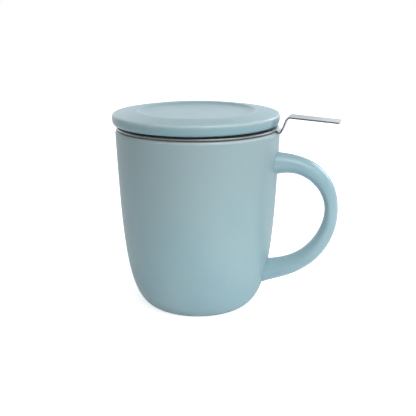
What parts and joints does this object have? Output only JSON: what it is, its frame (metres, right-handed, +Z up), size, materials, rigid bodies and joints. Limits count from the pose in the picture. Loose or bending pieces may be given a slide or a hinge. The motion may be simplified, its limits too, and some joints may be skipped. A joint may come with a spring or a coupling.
{
  "type": "lidded tea mug with infuser",
  "caption": "Barrel-shaped stoneware mug with a D handle, a hanging steel basket infuser with a strip handle, and a flat lift-off lid with a round recess.",
  "frame": {"origin": "centre of the foot ring on the plane that the mug stands on, on the mug body's axis", "axes": "+Z up along the mug's axis; +X towards the ceramic handle and the infuser's strip handle; +Y to the left of that"},
  "size_m": [0.1217, 0.0894, 0.1077],
  "materials": {
    "glaze": "satin pale blue-grey glaze",
    "steel": "brushed stainless steel"
  },
  "bodies": {
    "mug": {"mug_body": "glaze", "mug_handle": "glaze"},
    "infuser": {"infuser_rim": "steel", "infuser_sleeve": "steel", "infuser_base": "steel", "infuser_handle": "steel"},
    "lid": {"lid": "glaze"}
  },
  "joints": [
    {"name": "infuser_lift", "type": "slide", "parent": "mug", "child": "infuser", "axis": [0, 0, 1], "range_m": [0, 0.08]},
    {"name": "lid_lift", "type": "slide", "parent": "infuser", "child": "lid", "axis": [0, 0, 1], "range_m": [0, 0.04]}
  ]
}
